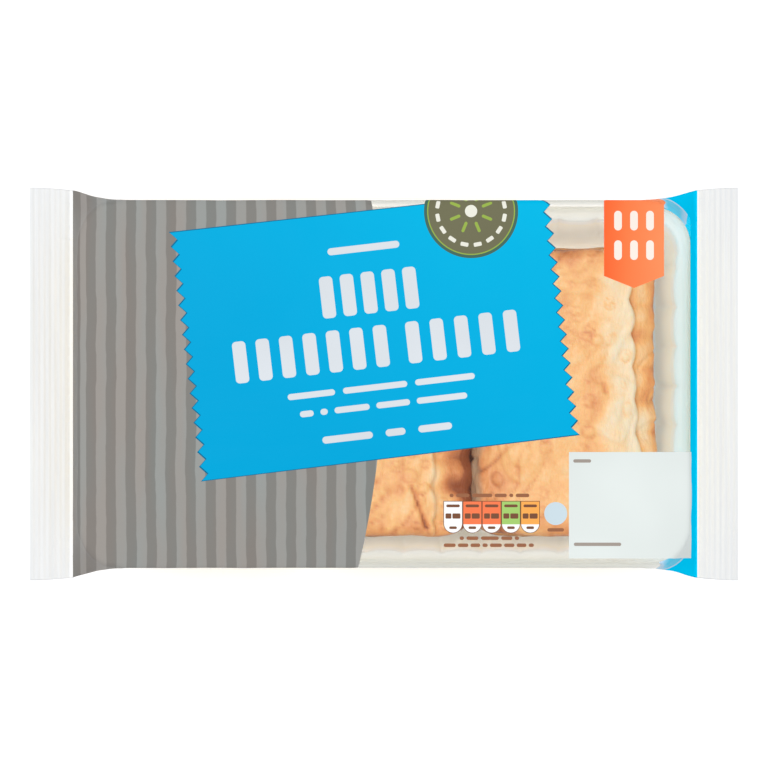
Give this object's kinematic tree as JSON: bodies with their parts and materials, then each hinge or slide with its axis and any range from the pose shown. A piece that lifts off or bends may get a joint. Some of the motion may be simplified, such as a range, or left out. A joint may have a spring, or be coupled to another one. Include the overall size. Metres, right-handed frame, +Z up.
{
  "type": "pack of sausage rolls",
  "caption": "Flow-wrapped pack of sausage rolls: a clear tray of puff-pastry rolls in printed film with a window and crimped end seals.",
  "frame": {"origin": "middle of the underside, on the surface that the pack lies on", "axes": "+X along the pack, from the striped end to the window end; +Y across it; +Z up, out of the printed face"},
  "size_m": [0.2306, 0.128, 0.053],
  "materials": {
    "printed_film": "thin printed film, satin gloss, blue and striped grey print",
    "white_seal": "white-backed film, crimped",
    "clear_film": "thin clear film, glossy",
    "tray": "clear thermoformed tray, ribbed walls",
    "pastry": "baked puff pastry, egg-washed, flaky",
    "sausage_meat": "cooked sausage meat"
  },
  "bodies": {
    "root": {"wrapped_pack": "printed_film"}
  },
  "joints": []
}
